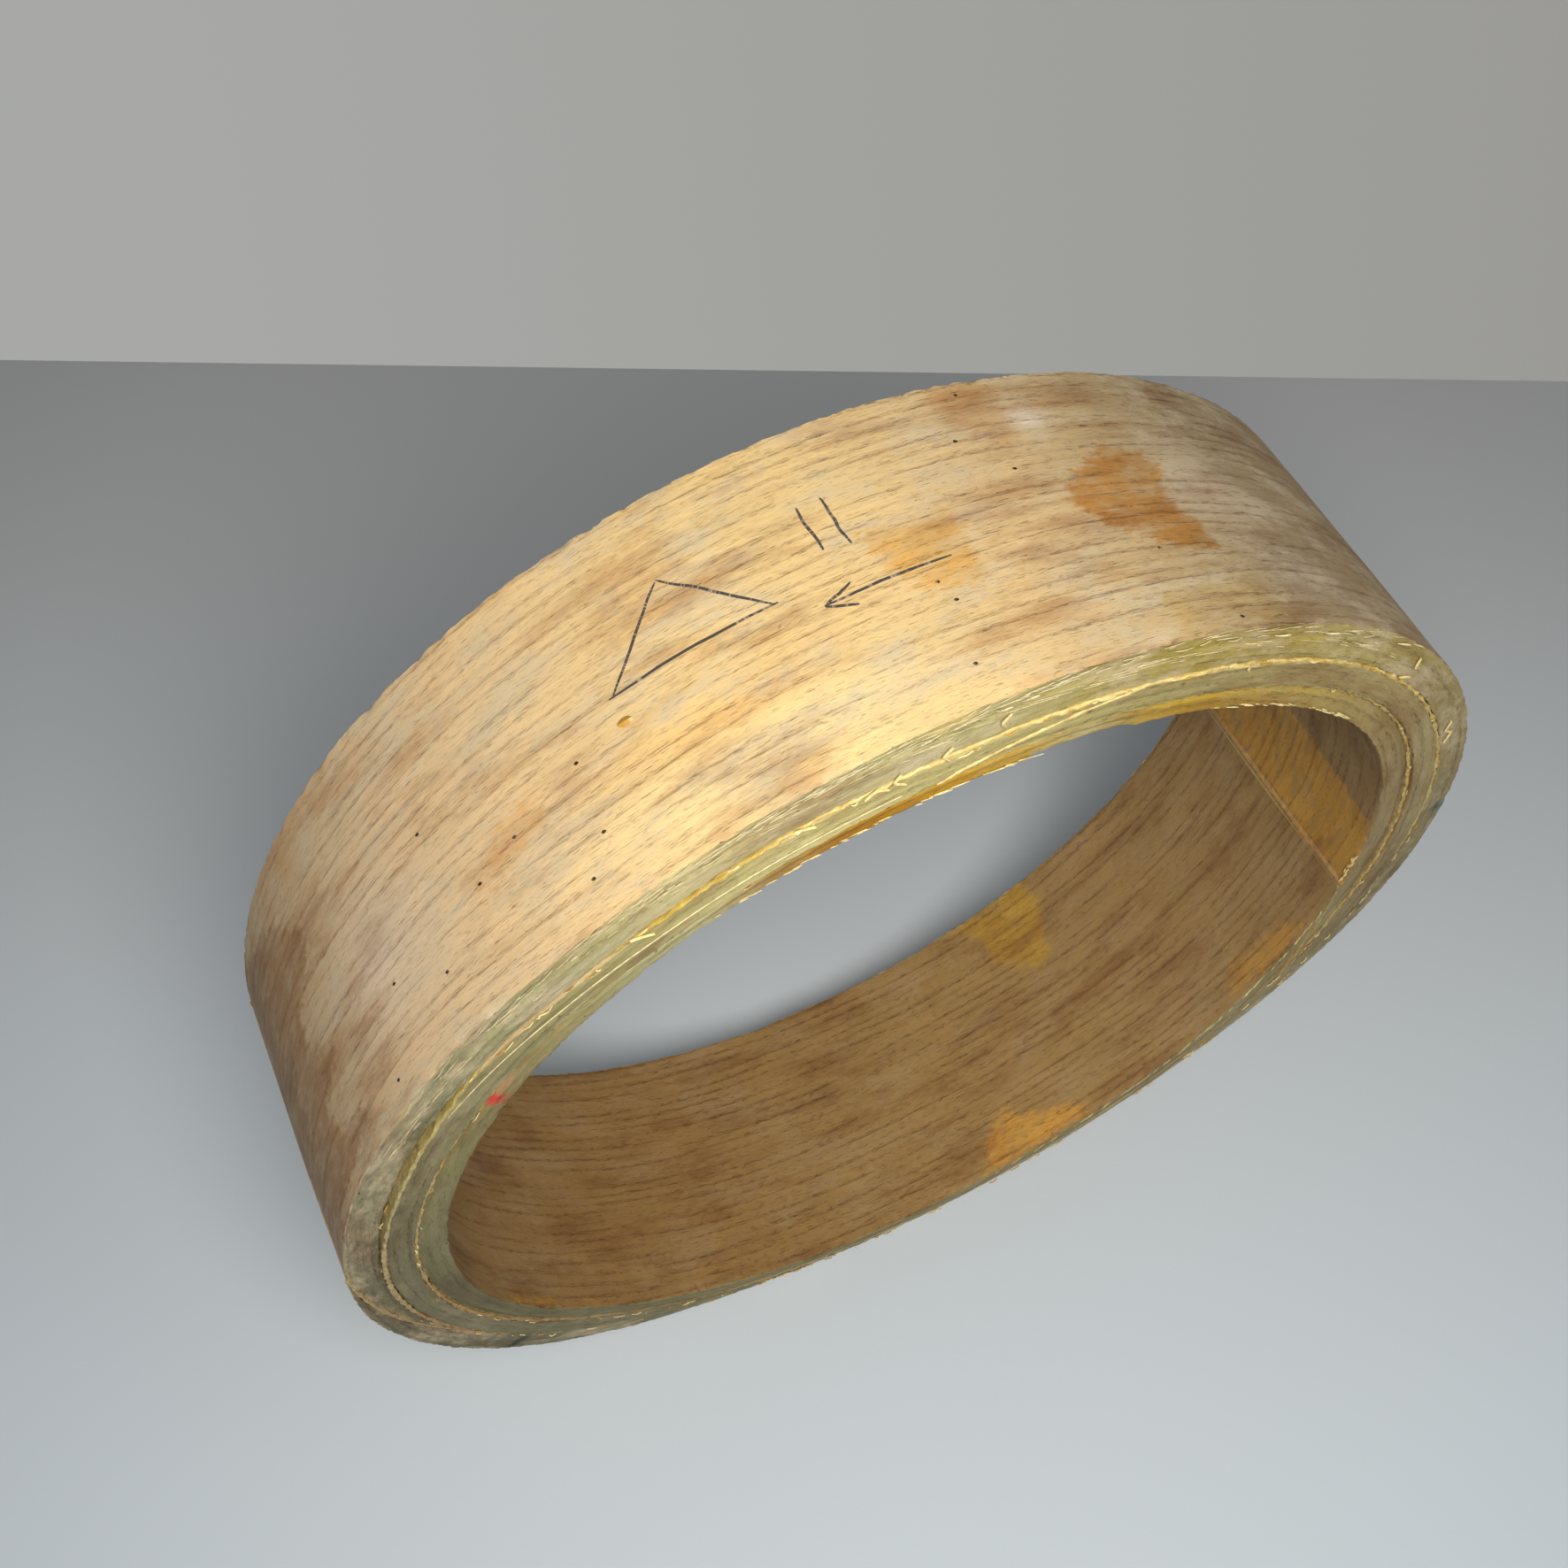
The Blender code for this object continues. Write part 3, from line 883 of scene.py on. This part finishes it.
def bead_width(angles, seed):
    """Half the width of the ragged bead on a face."""
    return BEAD * np.clip(1.0 + 0.55 * rough_noise(angles * 1.4, angles * 0.0, seed), 0.6, 1.9)


def build_glue_line(name, outside, inside, beads, material, seed):
    """Ring of glue between two strips."""
    angles = np.linspace(0.0, WHOLE_TURN, LINE_STATIONS, endpoint=False)
    lower = np.minimum(round_curve(outside.proud, angles), round_curve(inside.proud, angles))
    ragged = np.clip(rough_noise(angles * 1.1, angles * 0.0, seed + 3), -0.6, 1.2)
    top = lower + round_curve(beads, angles) + 0.28 * ragged
    build_glue(name + "_glue_bead", name + "_glue_line", angles,
               round_curve(outside.inner, angles), outside.bare_inner, top, GLUE_HALF - 0.02,
               bead_width(angles, seed), material, closed=True)


def build_scarf_film(strip, bead, material):
    """Film of glue in a strip's scarf, from its outside to its inside."""
    start, end = strip.scarf
    angles = np.linspace(start + 0.3, end - 0.3, FILM_STATIONS)
    share = (angles - start) / (end - start)
    head = round_curve(strip.outer, angles)
    head = head - share * (head - round_curve(strip.inner, angles))
    bare = strip.bare_outer - share * (strip.bare_outer - strip.bare_inner)
    ragged = 0.12 * rough_noise(angles * 1.3, angles * 0.0, strip.seed + 70)
    top = round_curve(strip.proud, angles) + 0.10 + ragged
    width = bead * bead_width(angles, strip.seed + 71)
    build_glue(strip.name + "_scarf_film", strip.name + "_scarf_glue", angles, head,
               bare[:, None], top, FILM_HALF - 0.02, width, material, closed=False)


def build_all_glue():
    material = make_glue()
    build_glue_line("outer", OUTER_STRIP, MIDDLE_STRIP, OUTER_BEAD, material, 400)
    build_glue_line("inner", MIDDLE_STRIP, INNER_STRIP, INNER_BEAD, material, 420)
    for strip, bead in ((OUTER_STRIP, 1.1), (MIDDLE_STRIP, 0.6), (INNER_STRIP, 0.6)):
        build_scarf_film(strip, bead, material)
    return material


# Fibres, flakes, curls and marks

# Greatest distance between the stations of a strand
STRAND_STEP = 0.8


class Slivers:
    """Thin tapered strands gathered in one mesh. They lie on the head face or on a wall."""

    def __init__(self):
        self.corners = []
        self.faces = []
        self.boards = []
        self.tints = []

    def add(self, points, width, thickness, tint, on_wall=False, taper=0.15):
        """Strand through points of (angle, radius, y)."""
        points = np.array(points, float)
        lengths = np.hypot(np.diff(points[:, 0]) * RIM_RADIUS * PER_DEGREE,
                           np.diff(points[:, 2] if on_wall else points[:, 1]))
        marks = np.concatenate([[0.0], np.cumsum(lengths)])
        steps = max(4, int(marks[-1] / STRAND_STEP) + 2)
        where = np.linspace(0.0, marks[-1], steps)
        angle, radius, y = (np.interp(where, marks, points[:, axis]) for axis in range(3))
        s = angle * RIM_RADIUS * PER_DEGREE
        across = y if on_wall else radius
        run, rise = np.gradient(s), np.gradient(across)
        reach = np.maximum(np.hypot(run, rise), 1e-6)
        share = where / marks[-1]
        half = width / 2 * (taper + (1 - taper) * np.sin(math.pi * share) ** 0.5)
        # Each station has four corners: one side, the top, the other side and the bottom
        aside = np.array([1.0, 0.0, -1.0, 0.0])
        lift = np.array([0.0, thickness / 2, 0.0, -thickness / 2])
        turn = (s[:, None] - (rise / reach * half)[:, None] * aside) / (RIM_RADIUS * PER_DEGREE)
        move = (run / reach * half)[:, None] * aside
        raised, moved = (radius, y) if on_wall else (y, radius)
        raised, moved = raised[:, None] + lift, moved[:, None] + move
        corners = place(raised, turn, moved) if on_wall else place(moved, turn, raised)
        base = len(self.corners) * 4
        self.corners.extend(corners)
        self.boards.extend(np.repeat(np.stack([s, y, radius], axis=-1), 4, axis=0))
        self.tints.extend([tint] * 4 * steps)
        for face in tube_faces(steps, 4, closed=False):
            self.faces.append(tuple(corner + base for corner in face))

    def build(self, name, material):
        attributes = {"board": np.array(self.boards).reshape(-1, 3),
                      "tint": opaque(np.array(self.tints))}
        make_piece(name, np.array(self.corners), self.faces, material, None, attributes)


WHITE_FIBRE = linear(222, 206, 158)
CREAM_GLUE = linear(244, 226, 156)
AMBER_GLUE = linear(204, 158, 58)
SPECK = linear(52, 38, 24)
GRAPHITE = linear(74, 68, 62)
FACE = -HALF_WIDTH
EDGE_FIBRES = 150
LEDGE_FIBRES = 70
LINE_CURLS = 120


def curve_at(points, angle):
    """A curve's value at one angle."""
    return float(round_curve(points, np.array(angle)))


def make_fibre_material():
    """Dry loose fibres, each in its own tint."""
    nodes = Nodes(bpy.data.materials.new("torn_fibres"))
    grain = nodes.noise(nodes.attribute("board"), (0.8, 4.0, 4.0), 2.0, 0.6, 81.0)
    shade = nodes.ramp(grain, 0.3, 0.7, 0.7, 1.1)
    colour = nodes.shaded(nodes.attribute("tint", "Color"), shade)
    roughness = nodes.ramp(grain, 0.3, 0.7, 0.6, 0.85)
    return nodes.finish(colour, roughness, nodes.bump(grain, SMALL_RELIEF))


def make_pencil_material():
    """Graphite that missed the hollows of the grain."""
    nodes = Nodes(bpy.data.materials.new("pencil"))
    board = nodes.attribute("board")
    grain = nodes.noise(board, (0.5, 4.0, 4.0), 3.0, 0.65, 91.0)
    missed = nodes.ramp(grain, 0.52, 0.64, 0.0, 0.75)
    colour = nodes.mix(missed, nodes.attribute("tint", "Color"), BARE_ASH)
    roughness = nodes.ramp(grain, 0.3, 0.7, 0.42, 0.6)
    return nodes.finish(colour, roughness, nodes.bump(grain, SMALL_RELIEF))


def build_fibres():
    """Torn fibres, flakes and hooks on the head face."""
    rng = np.random.default_rng(7)
    fibres = Slivers()
    # Torn fibres along the outer edge, most of them where the saw left the wood
    for index in range(EDGE_FIBRES):
        angle = rng.triangular(40, 108, 162)
        length = rng.uniform(0.5, 2.6)
        edge = curve_at(RIM_EDGE, angle)
        start = edge + rng.uniform(-2.4, -0.2)
        lift = rng.uniform(0.05, 0.55)
        fibres.add([(angle, start, FACE - 0.1), (angle - length / 2, start + 0.25, FACE - lift),
                    (angle - length, start + rng.uniform(0.0, 0.9), FACE - lift * 0.8)],
                   rng.uniform(0.12, 0.32), 0.12, WHITE_FIBRE)
    # The ledge where the outermost band tore away
    for index in range(LEDGE_FIBRES):
        angle = rng.uniform(48, 152)
        length = rng.uniform(0.6, 3.0)
        start = rng.normal(137.4, 0.6)
        fibres.add([(angle, start, FACE - 0.05), (angle - length, start + rng.uniform(-0.4, 0.4),
                                                  FACE - rng.uniform(0.15, 0.35))],
                   rng.uniform(0.12, 0.30), 0.12, WHITE_FIBRE)
    # The bore's edge
    for low, high, count in ((36, 66, 30), (86, 118, 40), (284, 348, 60)):
        for index in range(count):
            angle = rng.uniform(low, high)
            proud = curve_at(INNER_PROUD, angle)
            length = rng.uniform(0.4, 1.8)
            start = curve_at(BORE_EDGE, angle) + rng.uniform(0.15, 0.9)
            fibres.add([(angle, start, FACE - proud), (angle - length, start + 0.1,
                                                       FACE - proud - 0.25)],
                       rng.uniform(0.15, 0.4), 0.15, CREAM_GLUE)
    # Long light strand on the middle ply
    strand = ((98, 126.3), (110, 127.0), (120, 127.3), (130, 128.5), (138, 130.0), (145, 131.0))
    fibres.add([(angle, radius, FACE - 0.45) for angle, radius in strand], 0.35, 0.3, WHITE_FIBRE)
    # Hooks and flakes standing off the outer edge
    for angle, size in ((94.0, 2.4), (96.5, 2.0), (116.0, 1.6), (124.5, 1.4), (49.0, 1.3),
                        (60.0, 1.2), (66.0, 1.2), (88.5, 2.2), (90.5, 1.6)):
        fibres.add([(angle, 139.6, FACE - 0.2), (angle - 0.3, 139.6 + size * 0.6, FACE - 1.1),
                    (angle - 1.0, 139.9 + size * 0.7, FACE - 1.3)], 0.6, 0.3, WHITE_FIBRE)
    fibres.build("torn_fibres", make_fibre_material())


def build_curls(material):
    """Strings and drops of glue pushed out of the joints."""
    rng = np.random.default_rng(11)
    curls = Slivers()
    named = (
        ((89.5, 134.0), (89.9, 136.0), (89.3, 138.0)), ((94, 131), (94.6, 133), (93.8, 135)),
        ((97.6, 130), (98.6, 132), (97.9, 134)), ((99, 131), (100, 132.6), (101, 131.4)),
        ((105, 131.5), (106.5, 133.4)), ((119.5, 130), (120.4, 132), (121, 133)),
        ((43.8, 139), (42.8, 136.5)), ((42, 134.5), (43.5, 133.3)),
        ((22, 134), (23.4, 136), (24.6, 134.6), (26, 136.4)), ((66, 130.8), (66.4, 132)))
    for outline in named:
        curls.add([(angle, radius, FACE - 0.75) for angle, radius in outline], 0.75, 0.6,
                  CREAM_GLUE)
    for line, boards in ((OUTER_LINE, MIDDLE_PROUD), (INNER_LINE, INNER_PROUD)):
        for index in range(LINE_CURLS):
            angle = rng.uniform(0, WHOLE_TURN)
            base = curve_at(line, angle) + rng.normal(0.0, 0.35)
            proud = curve_at(boards, angle)
            length = rng.uniform(0.2, 1.6)
            tint = CREAM_GLUE if rng.random() < 0.45 else AMBER_GLUE
            curls.add([(angle, base, FACE - proud - 0.1),
                       (angle + length / 2, base + rng.normal(0, 0.3), FACE - proud - 0.35),
                       (angle + length, base + rng.normal(0, 0.2), FACE - proud - 0.1)],
                      rng.uniform(0.2, 0.55), 0.3, tint)
    # Crumbs past the lap end and the thick rim of the puddle, inside the bore
    for low, high, count in ((353.5, 359.5, 10), (284, 299, 26)):
        for index in range(count):
            angle = rng.uniform(low, high)
            proud = curve_at(INNER_PROUD, angle)
            y = FACE - proud + rng.uniform(0.5, 1.8)
            curls.add([(angle, RIM_BORE + 0.7, y), (angle + rng.uniform(0.4, 1.4), RIM_BORE + 0.7,
                                                    y + rng.normal(0.0, 0.3))],
                      rng.uniform(0.4, 0.9), 0.5, CREAM_GLUE, on_wall=True)
    curls.add([(112.4, 141.3, -4.9), (113.6, 141.3, -4.7)], 2.0, 0.7, AMBER_GLUE, on_wall=True)
    curls.build("glue_curls", material)


# Pencil lines on the outside: (angle, y) points
PENCIL_LINES = (
    ((100, 1), (106.5, 17)), ((106.5, 17), (113, 1)), ((113.3, 1), (99.7, 1)),
    ((93, 6), (93.2, 18)), ((95, 7), (95.1, 17.5)), ((87, -3.6), (97, -4)),
    ((94.6, -1.4), (97, -4)), ((94.8, -6.6), (97, -4)))
SPECKS = (
    (71.2, -13.4), (78.7, 31.5), (81.2, 20.4), (78.2, 10.9), (88.9, -8.3), (88.5, -13.1),
    (68.8, -31.9), (90, -26.6), (123.9, -10.3), (128, -13), (117.3, -6.1), (117.6, -20.6),
    (119.7, -26.9), (133.6, -21.9), (131.5, 4.6), (142.5, -29.7), (139.2, -14.7))


def outside_radius(angle, y):
    """Radius of the outer board's outside, with its waves."""
    high, low = strip_radii(OUTER_STRIP, angle + WHOLE_TURN, y)
    along = (angle + WHOLE_TURN) * RIM_RADIUS * PER_DEGREE
    return high + wall_waves(OUTER_STRIP, along, y)


def build_marks():
    """Pencil lines and dark specks on the outside."""
    marks = Slivers()
    for number, (start, end) in enumerate(PENCIL_LINES):
        share = np.linspace(0.0, 1.0, 24)
        angle = start[0] + share * (end[0] - start[0])
        y = start[1] + share * (end[1] - start[1])
        angle = angle + 0.10 * rough_noise(share * 3, share * 0.0 + number, 500)
        y = y + 0.20 * rough_noise(share * 3, share * 0.0 + number, 510)
        radius = outside_radius(angle, y) + 0.01
        marks.add(np.stack([angle, radius, y], axis=-1), 0.62, 0.10, GRAPHITE, True, 0.5)
    for angle, y in SPECKS:
        radius = outside_radius(np.array([angle, angle + 0.4]), np.array([y, y])) + 0.02
        marks.add([(angle, radius[0], y), (angle + 0.4, radius[1], y + 0.2)], 0.7, 0.12,
                  SPECK, True)
    marks.build("pencil_marks", make_pencil_material())


# Stage, lights and camera

CAMERA_PLACE = (-0.0997, -0.1629, 0.5105)
CAMERA_RIGHT = (0.90493, -0.42557, 0.0)
CAMERA_UP = (0.3609, 0.7675, 0.5300)
CAMERA_LENS = 38.94
CAMERA_SENSOR = 36.0
WALL_COLOUR = linear(168, 169, 166)
WALL_FAR_COLOUR = linear(153, 152, 148)
# The direction in which the wall darkens, as painted shade
WALL_FADE = (0.9, -0.4, 0.1)
# The floor's colour holds painted light: lighter and bluer towards the camera, greyer towards the
# wall
FLOOR_COLOUR = linear(214, 222, 226)
FLOOR_FAR_COLOUR = linear(196, 196, 193)
FLOOR_REACH = 4.0
FLOOR_FADE = (0.36, -0.12)
WALL_FADE_ENDS = (-0.35, 0.45)
GLOW_COLOUR = linear(226, 232, 240)
GLOW_STRENGTH = 0.22
# The floor ends where the wall begins: how far from the camera, and in which direction
WALL_DISTANCE = 0.523
VIEW_BEARING = (0.4426, 0.8967)


def make_camera():
    data = bpy.data.cameras.new("camera")
    data.lens = CAMERA_LENS
    data.sensor_width = CAMERA_SENSOR
    camera = add_object("camera", data)
    right = Vector(CAMERA_RIGHT).normalized()
    up = Vector(CAMERA_UP).normalized()
    turn = Matrix((right, up, right.cross(up))).transposed()
    camera.matrix_world = Matrix.Translation(CAMERA_PLACE) @ turn.to_4x4()
    bpy.context.scene.camera = camera


def make_floor():
    bearing = Vector((*VIEW_BEARING, 0.0)).normalized()
    across = Vector((-bearing.y, bearing.x, 0.0))
    foot = Vector((CAMERA_PLACE[0], CAMERA_PLACE[1], 0.0)) + bearing * WALL_DISTANCE
    aside, near = across * FLOOR_REACH, bearing * FLOOR_REACH
    corners = [foot - aside, foot + aside, foot + aside - near, foot - aside - near]
    mesh = bpy.data.meshes.new("floor")
    mesh.from_pydata([tuple(corner) for corner in corners], [], [(0, 1, 2, 3)])
    nodes = Nodes(bpy.data.materials.new("floor_paper"))
    spot = nodes.add("TexCoord", output="Object")
    along = nodes.add("VectorMath", {0: spot, 1: (*VIEW_BEARING, 0.0)}, output="Value",
                      operation="DOT_PRODUCT")
    # Painted light: lighter and bluer towards the camera
    colour = nodes.mix(nodes.ramp(along, *FLOOR_FADE), FLOOR_FAR_COLOUR, FLOOR_COLOUR)
    grit = nodes.noise(spot, (900.0, 900.0, 900.0), 2.0, 0.6)
    mesh.materials.append(nodes.finish(colour, 0.7, nodes.bump(grit, 0.00004)))
    floor = add_object("floor", mesh)


def make_world():
    """Soft light from all round, and for the camera a grey wall with painted shade to the right."""
    world = bpy.data.worlds.new("studio")
    bpy.context.scene.world = world
    nodes = Nodes(world)
    nodes.tree.nodes.clear()
    ray = nodes.add("TexCoord", output="Generated")
    across = nodes.add("VectorMath", {0: ray, 1: WALL_FADE}, output="Value",
                       operation="DOT_PRODUCT")
    # Painted shade: the wall darkens towards the right
    fade = nodes.add("MapRange", {"Value": across, "From Min": WALL_FADE_ENDS[0],
                                  "From Max": WALL_FADE_ENDS[1]})
    wall = nodes.add("Background", {"Color": nodes.mix(fade, WALL_COLOUR, WALL_FAR_COLOUR)})
    glow = nodes.add("Background", {"Color": GLOW_COLOUR, "Strength": GLOW_STRENGTH})
    seen = nodes.add("LightPath", output="Is Camera Ray")
    output = nodes.tree.nodes.new("ShaderNodeOutputWorld")
    nodes.feed(output.inputs["Surface"], nodes.add("MixShader", {0: seen, 1: glow, 2: wall}))


def make_lamp(name, place_at, target, size, power, colour):
    data = bpy.data.lights.new(name, "AREA")
    data.shape = "DISK"
    data.size = size
    data.energy = power
    data.color = colour
    lamp = add_object(name, data)
    aim = Vector(target) - Vector(place_at)
    lamp.matrix_world = (Matrix.Translation(place_at)
                         @ aim.to_track_quat("-Z", "Y").to_matrix().to_4x4())


def make_lights():
    rim_middle = (0.0, 0.0, AXIS_HEIGHT * MM)
    make_lamp("key", (-0.09, -0.28, 0.60), (-0.03, -0.02, 0.20), 0.26, 2.9, (1.0, 0.98, 0.95))
    make_lamp("fill", (0.9, -0.6, 0.9), rim_middle, 0.8, 1.0, (0.92, 0.96, 1.0))


make_camera()
make_world()
make_floor()
make_lights()
build_plies()
glue = build_all_glue()
build_curls(glue)
build_fibres()
build_marks()

bpy.context.scene.view_settings.view_transform = "Standard"
